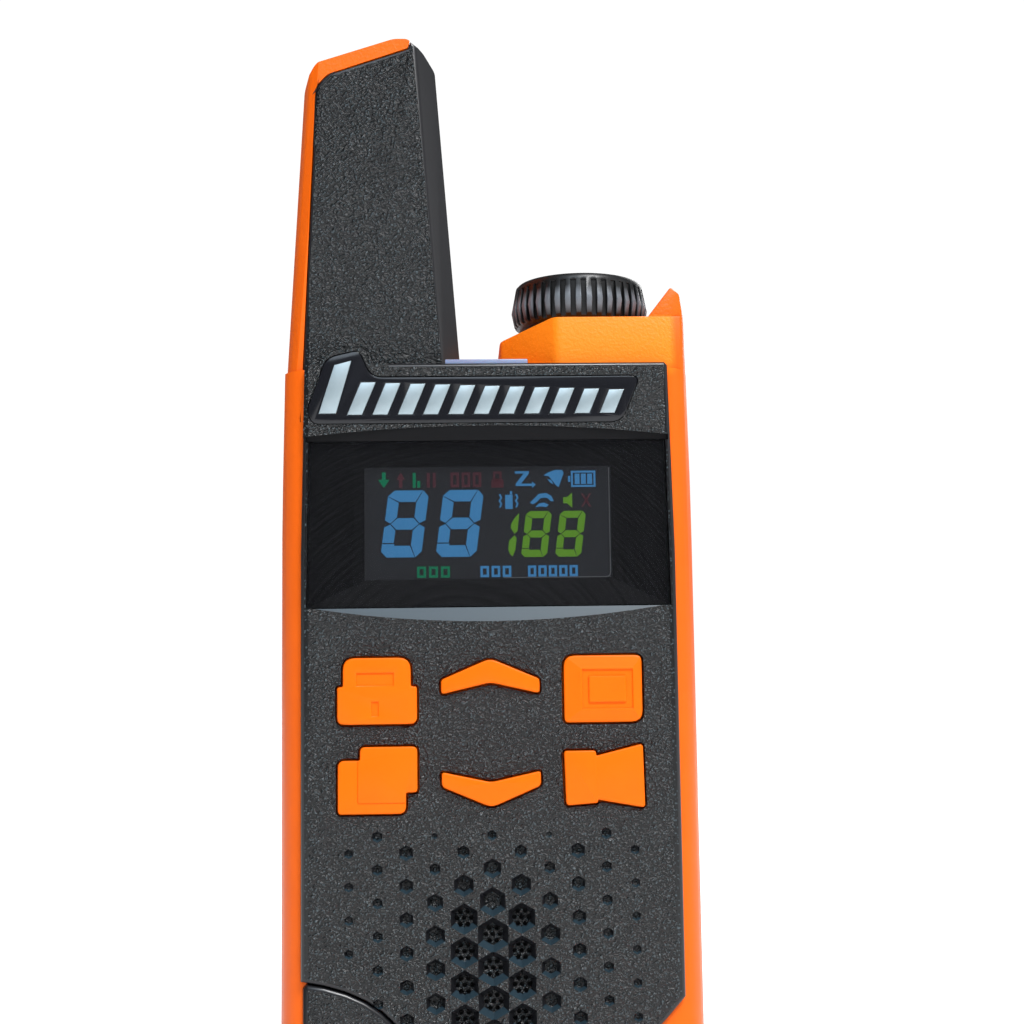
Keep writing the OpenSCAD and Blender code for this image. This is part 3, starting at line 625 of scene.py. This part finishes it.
# %% Keys
KEY_TOP = -14.6
MENU_FLAT, MENU_FOOT = (12.3, 18.7, 59.3, 64.2), (9.6, 20.25, 57.25, 66.35)
MENU_DEPTH, SHEET_DEPTH = 0.5, 0.14  # how far the slope and the step go down
UPPER_SHEET = (-17.55, -8, 47.2, 57)


def sloped_border():
    """The block outside a low pyramid, which leaves a key sloping down from its drawing."""
    flat = slab("flat", box_outline(*MENU_FLAT), KEY_TOP - 0.01, KEY_TOP + MENU_DEPTH)
    for corner in flat.data.vertices:
        if corner.co.y > (KEY_TOP + MENU_DEPTH / 2) * MM:
            x, z = min(box_outline(*MENU_FOOT),
                       key=lambda p: (Vector((p[0], 0, p[1])) * MM - corner.co).length)
            corner.co.x, corner.co.z = x * MM, z * MM
    block = slab("border", box_outline(9, 21, 56.5, 67), -15, KEY_TOP + MENU_DEPTH - 0.01)
    return carve(block, flat)


def under_sheet():
    """The L beside the upper of two overlapping sheets."""
    sheet = slab("sheet", box_outline(*UPPER_SHEET), -16, -14)
    block = slab("under", box_outline(-21, -8.5, 44, 56), -15, KEY_TOP + SHEET_DEPTH)
    return carve(block, sheet)


for name in ("lock", "up", "menu", "copy", "down", "call"):
    key = copy_of(f"key_{name}", f"{name}_key")
    if name == "menu":
        carve(key, sloped_border())
    if name == "copy":
        carve(key, under_sheet())
    soften(key, 0.2, 3, lambda m: m.y < -14.05, 40)
    place(key, f"key_{name}", "orange_key", [orange_key], f"key_{name}",
          angle=6 if name == "menu" else 50)

# %% [markdown]
# ## The volume knob
# Forty teeth run round the knob. Their gaps are painted dark, a painted shade, and their flats
# pale, a painted highlight, so the tone follows the distance from the knob's own axis. The ends
# of each tooth are rounded off so that it does not bite.

# %% Knob
def painted_shade_and_highlight(material, centre, gap, flat, dark, light):
    """Paints a turned part by its radius in mm: painted shade in the gaps, painted highlight on the
    flats.
    """
    tree = material.node_tree
    spot = add(tree, "ShaderNodeTexCoord").outputs["Object"]
    away = add(tree, "ShaderNodeVectorMath", {0: spot, 1: centre}, operation="SUBTRACT")
    level = add(tree, "ShaderNodeVectorMath", {0: away.outputs[0], 1: (1, 1, 0)},
                operation="MULTIPLY")
    radius = add(tree, "ShaderNodeVectorMath", {0: level.outputs[0]}, operation="LENGTH")
    highlight_share = add(tree, "ShaderNodeMapRange", {0: radius.outputs["Value"], 1: gap * MM,
                                            2: flat * MM})
    tone = add(tree, "ShaderNodeMix", {0: highlight_share.outputs[0], 6: linear(dark), 7: linear(light)},
               data_type="RGBA")
    tree.links.new(tone.outputs[2], tree.nodes["Principled BSDF"].inputs["Base Color"])


GAP_RADIUS, FLAT_RADIUS = 9.35, 9.6
low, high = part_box("volume_knob")
knob_middle = (Vector(low) + Vector(high)) / 2
# painted shade in the gaps and painted highlight on the flats
painted_shade_and_highlight(knob_black, knob_middle, GAP_RADIUS, FLAT_RADIUS, "#0a0b0c", "#666b71")
knob = copy_of("volume_knob", "toothed_knob")
print("knob edges:", soften(knob, 0.1, 2, lambda m: m.z > 113.2, 35))
place(knob, "knob", "knob_black", [knob_black], "volume_knob")

# %% [markdown]
# ## The display's drawing
# The display shows two large blue digits, a smaller green group and rows of small marks. A digit
# is seven bars with mitred ends and hairline gaps. Its bars keep their thickness at every size,
# so each digit is drawn at its own size, not scaled from another. In the bottom row plain frames
# stand in groups.

# %% Digits
INK_FRONT, INK_BACK = -12.08, -11.95
SLANT = 0.13


def leaning(outline, foot):
    """An upright outline leaned to the right, as display digits are."""
    return [(x + SLANT * (z - foot), z) for x, z in outline]


def digit(name, x, z, wide, tall, bar, gap=0.16):
    """A seven-bar digit with its lower left corner at x, z."""
    cut, waist, mid, half = bar / 2, bar / 4, tall / 2, bar / 2
    right, top, step = wide - bar, tall - bar, bar * 1.15
    bars = [
        [(0, tall - cut), (cut, tall), (wide - cut, tall), (right, top), (bar, top)],
        [(wide - cut, tall), (wide, tall - cut), (wide, mid + waist), (wide - half, mid),
         (right, mid + half), (right, top)],
        [(0, tall - cut), (bar, top), (bar, mid + half), (half, mid), (0, mid + waist)],
        [(half, mid), (bar, mid + half), (right, mid + half), (wide - half, mid),
         (right, mid - half), (bar, mid - half)],
        [(half, mid), (bar, mid - half), (bar, step), (0, step), (0, mid - waist)],
        [(wide - half, mid), (wide, mid - waist), (wide, cut), (wide - cut, 0), (right, bar),
         (right, mid - half)],
        [(0, step), (bar, step), (bar, bar), (right, bar), (wide - cut, 0), (cut, 0), (0, cut)]]
    parts = []
    for n, bar_outline in enumerate(bars):
        across, up = zip(*bar_outline)
        cx, cz = (min(across) + max(across)) / 2, (min(up) + max(up)) / 2
        kx = 1 - gap / (max(across) - min(across))
        kz = 1 - gap / (max(up) - min(up))
        inset = [(x + cx + (u - cx) * kx, z + cz + (v - cz) * kz) for u, v in bar_outline]
        parts.append(slab(f"{name}_{n}", leaning(inset, z), INK_FRONT, INK_BACK))
    return join(name, parts)


def mark(outline, name="mark"):
    """A small flat display mark."""
    return slab(name, outline, INK_FRONT, INK_BACK)


def frame_mark(a0, a1, b0, b1, line):
    """A thin rectangular outline as four strips."""
    return [mark(box_outline(a0, a1, b0, b0 + line)), mark(box_outline(a0, a1, b1 - line, b1)),
            mark(box_outline(a0, a0 + line, b0 + line, b1 - line)),
            mark(box_outline(a1 - line, a1, b0 + line, b1 - line))]


blue = [digit("digit_a", -14.6, 79.6, 5.6, 9.2, 1.7), digit("digit_b", -7.2, 79.6, 5.6, 9.2, 1.7)]
green = [digit("digit_c", 4.3, 79.5, 3.6, 6.3, 1.05, 0.12),
         digit("digit_d", 8.9, 79.5, 3.6, 6.3, 1.05, 0.12)]
ONE_FOOT = (2.55, 79.6)
for half_one in ([(0.9, 5.9), (0.4, 5.3), (0, 4.5), (0, 3.9), (0.6, 3.1), (0.95, 3.5)],
                 [(0.6, 2.9), (0, 2.2), (0, 1.0), (0.3, 0.4), (0.7, 0.05), (0.95, 0.9),
                  (0.95, 2.5)]):
    placed = [(ONE_FOOT[0] + u, ONE_FOOT[1] + v) for u, v in half_one]
    green.append(mark(leaning(placed, ONE_FOOT[1])))

# %% Small marks
# upper row: arrows, level bars, lamps, padlock, zigzag, bell, battery
teal = [mark([(-14.75, 90.2), (-14.25, 90.2), (-14.25, 91.2), (-13.75, 91.2), (-13.75, 90.2),
              (-13.25, 90.2), (-14.0, 89.1)])]
red = [mark([(-12.3, 90.2), (-11.95, 90.2), (-11.95, 89.1), (-11.5, 89.1), (-11.5, 90.2),
             (-11.15, 90.2), (-11.72, 91.2)])]
teal += [mark(box_outline(-10.1, -9.7, 89.1, 91.1)), mark(box_outline(-9.5, -9.1, 89.1, 90.0))]
red += [mark(box_outline(-8.2, -7.8, 89.1, 91.1)), mark(box_outline(-7.4, -7.0, 89.1, 91.1))]
for x in (-5.0, -3.5, -2.0):
    red += frame_mark(x, x + 1.15, 89.1, 91.1, 0.35)
red += frame_mark(0.75, 1.9, 89.9, 91.2, 0.3) + [mark(box_outline(0.5, 2.15, 89.0, 90.1))]
blue += [mark([(3.7, 90.9), (3.7, 91.2), (5.6, 91.2), (5.6, 90.9), (4.5, 89.5), (6.0, 89.5),
               (6.0, 89.8), (6.5, 89.35), (6.0, 88.9), (6.0, 89.2), (3.8, 89.2), (3.8, 89.5),
               (4.9, 90.9)]),
         mark([(7.6, 90.6), (8.3, 90.5), (9.3, 89.2), (9.6, 89.0), (10.3, 90.9), (10.1, 91.3),
               (9.2, 91.35), (8.2, 91.0)]),
         mark([(8.1, 90.1), (8.5, 89.6), (8.9, 89.4), (8.6, 90.0)])]
blue += frame_mark(11.3, 14.6, 89.0, 91.2, 0.25) + [mark(box_outline(10.9, 11.2, 89.7, 90.5))]
blue += [mark(box_outline(x, x + 0.65, 89.4, 90.8)) for x in (11.8, 12.65, 13.5)]
# second row: handset between waves, a cloud, a loudspeaker, a cross
blue += [mark(box_outline(2.35, 3.35, 86.1, 88.0)), mark(box_outline(3.0, 3.3, 88.05, 88.5))]
blue += [mark([(x, 86.3), (x + 0.25, 86.3), (x + 0.45, 86.8), (x + 0.2, 87.2), (x + 0.45, 87.6),
               (x + 0.25, 88.1), (x, 88.1), (x + 0.2, 87.6), (x - 0.05, 87.2), (x + 0.2, 86.8)])
         for x in (1.5, 3.7)]
blue += [mark([(5.7, 86.9), (6.3, 87.5), (6.9, 88.1), (7.9, 88.2), (8.6, 87.8), (8.9, 87.1),
               (8.5, 87.1), (8.1, 87.5), (7.7, 87.6), (7.1, 87.5), (6.6, 87.0), (6.1, 86.7)]),
         mark([(6.4, 86.3), (6.9, 86.8), (7.6, 86.9), (8.2, 86.6), (7.9, 86.3), (7.2, 86.4)])]
green += [mark([(10.2, 86.8), (10.7, 86.8), (11.4, 86.2), (11.4, 88.2), (10.7, 87.6),
                (10.2, 87.6)])]
red += [mark([(12.6, 86.3), (12.9, 86.3), (14.0, 88.1), (13.7, 88.1)]),
        mark([(13.7, 86.3), (14.0, 86.3), (12.9, 88.1), (12.6, 88.1)])]
# bottom row: groups of plain marks where the words would be
for x in (-9.6, -8.0, -6.4):
    teal += frame_mark(x, x + 1.2, 76.9, 78.4, 0.32)
for x in (-1.1, 0.4, 1.9):
    blue += frame_mark(x, x + 1.15, 76.9, 78.4, 0.32)
for x in (5.3, 6.7, 8.1, 9.5, 10.9):
    blue += frame_mark(x, x + 1.1, 76.9, 78.4, 0.32)

# a painted glint: a pale glowing line along the display glass's right and lower edges
edge = [mark(box_outline(16.35, 16.5, 77.3, 91.6)), mark(box_outline(2.0, 15.9, 76.75, 76.87)),
        mark([(15.9, 76.87), (15.9, 76.75), (16.3, 76.85), (16.5, 77.3), (16.35, 77.3),
              (16.2, 76.95)])]
place(join("painted_glint_line", edge), "radio_body", "lcd", [painted_edge_glint])
for name, marks, glow in (("blue_segments", blue, lit_blue), ("green_segments", green, lit_green),
                          ("teal_marks", teal, lit_teal), ("red_marks", red, lit_red)):
    place(join(name, marks), "radio_body", "lcd", [glow])

# %% [markdown]
# ## The display's bed
# Behind the window lies the display glass with its printed border. The engineered solids are
# right as they are, so they only take their finishes.

# %% Plain engineered pieces and their finishes
FINISHES = {
    "display_window": window, "window_mask": window_print, "lcd_panel": lcd_glass,
    "lcd_backlight": diffuser, "lcd_frame": can, "light_led": led_lens, "keypad_mat": silicone,
    "key_domes": gold, "main_board": board, "rf_shield": can, "board_chips": chip_resin,
    "speaker_frame": can, "speaker_cone": paper, "speaker_magnet": ferrite,
    "speaker_felt": felt, "microphone": can, "microphone_boot": soft_black,
    "antenna_core": nylon, "antenna_coil": copper, "antenna_feed": gold, "volume_control": can,
    "control_nut": steel, "control_shaft": steel, "ptt_switch": gold,
    "headset_jack": socket_black, "charge_port": steel, "battery_pack": sleeve,
    "battery_contacts": gold, "clip_pin": steel, "clip_spring": steel}
for node, material in FINISHES.items():
    mesh = frame["nodes"][node].data
    mesh.materials.clear()
    mesh.materials.append(material)
print("engineered pieces finished:", len(FINISHES))

# %% [markdown]
# ## The sides
# On the left is the talk button, a rubbery pad with grooves for the thumb. On the right a soft
# flap covers the sockets.

# %% Talk button and flap
talk = copy_of("ptt_button", "talk_button")
soften(talk, 0.5, 3, lambda m: m.x < -27.9, 40)
for z in range(62, 82, 3):
    groove = slab("groove", [(-28.6, z - 0.7), (-28.6, z + 0.7), (-27.7, z + 0.2),
                             (-27.7, z - 0.2)], -3.2, 4.2)
    carve(talk, groove)
place(talk, "ptt", "soft_black", [soft_black], "ptt_button")

flap = copy_of("port_flap", "socket_flap")
soften(flap, 0.3, 2, lambda m: m.x > 28.1, 40)
place(flap, "flap", "soft_orange", [soft_orange], "port_flap")

# %% [markdown]
# ## The back
# The battery door, the belt clip on its two ears and the four screws.

# %% Door, clip and screws
door = copy_of("battery_door", "battery_lid")
soften(door, 0.3, 2, lambda m: m.y > 13.9, 35)
place(door, "door", "orange_shell", [orange_shell], "battery_door")

clip = copy_of("belt_clip", "spring_belt_clip")
soften(clip, 0.35, 3, lambda m: m.y > 14.2, 18)
for z in (68.6, 70.2, 71.8):
    groove = slab("groove", [(22.3, z - 0.35), (23.4, z - 0.35), (23.4, z + 0.35),
                             (22.3, z + 0.35)], -6, 6, "x")
    carve(clip, groove)
place(clip, "clip", "clip_black", [clip_black], "belt_clip")

screws = copy_of("case_screws", "cross_head_screws")
soften(screws, 0.12, 2, lambda m: True, 50)
place(screws, "radio_body", "steel", [steel], "case_screws")

# %% [markdown]
# ## Light and floor
# A plain pale floor runs far enough to meet a pale surround. A large soft box above the front
# gives the sheen on the forward faces, a weak one fills from the right and one lights the back.
# A smaller, harder light from above picks out the grain, as a window does on a real desk.

# %% Floor and lights
deselect()
bpy.ops.mesh.primitive_plane_add(size=60, location=(0, 0, 0))
floor = bpy.context.object
floor.name = "floor"
floor.data.materials.append(finish("white_card_floor", "#f7f7f7", "#f4f4f4", 0.9, 8.0, 0.01,
                                   Emission_Color=(1, 1, 1, 1), Emission_Strength=0.3))


def soft_box(name, place_at, aim, size, watts, colour="#ffffff"):
    """A square soft light that faces a point."""
    light = bpy.data.objects.new(name, bpy.data.lights.new(name, "AREA"))
    bpy.context.scene.collection.objects.link(light)
    light.data.size, light.data.energy = size, watts
    light.data.color = linear(colour)[:3]
    light.location = place_at
    way = Vector(aim) - Vector(place_at)
    light.rotation_euler = way.to_track_quat("-Z", "Y").to_euler()


soft_box("key", (-0.06, -0.62, 0.72), (0, 0, 0.09), 0.5, 2.9, "#dbeaf8")
soft_box("fill", (0.75, -0.25, 0.35), (0, 0, 0.08), 0.4, 0.6)
soft_box("back", (0.35, 0.8, 0.5), (0, 0, 0.08), 0.5, 3.5)
overhead = bpy.data.objects.new("overhead", bpy.data.lights.new("overhead", "SUN"))
bpy.context.scene.collection.objects.link(overhead)
overhead.data.energy, overhead.data.angle = 3.1, radians(16)
overhead.rotation_euler = (radians(38), 0, radians(26))

# %% [markdown]
# ### The surround
# What the radio mirrors decides how black its plastics look, so the surround is dim, and dimmer
# on the left than on the right. Behind the radio it is plain white, as a studio sweep is.

# %% Surround
surround = bpy.data.worlds.new("surround")
bpy.context.scene.world = surround
surround.use_nodes = True
tree = surround.node_tree
sky = tree.nodes["Background"]
seen = add(tree, "ShaderNodeBackground", {"Color": (1, 1, 1, 1), "Strength": 1.05})
way = add(tree, "ShaderNodeTexCoord").outputs["Generated"]
side = add(tree, "ShaderNodeSeparateXYZ", {0: way})
level = add(tree, "ShaderNodeMapRange", {0: side.outputs["X"], 1: -1, 2: 0.6, 3: 0.08, 4: 0.28})
sky.inputs["Color"].default_value = linear("#f2f5fa")
tree.links.new(level.outputs[0], sky.inputs["Strength"])
ray = add(tree, "ShaderNodeLightPath")
both = add(tree, "ShaderNodeMixShader", {0: ray.outputs["Is Camera Ray"], 1: sky.outputs[0],
                                         2: seen.outputs[0]})
tree.links.new(both.outputs[0], tree.nodes["World Output"].inputs["Surface"])
bpy.context.scene.view_settings.view_transform = "Standard"
print("surround:", surround.name)
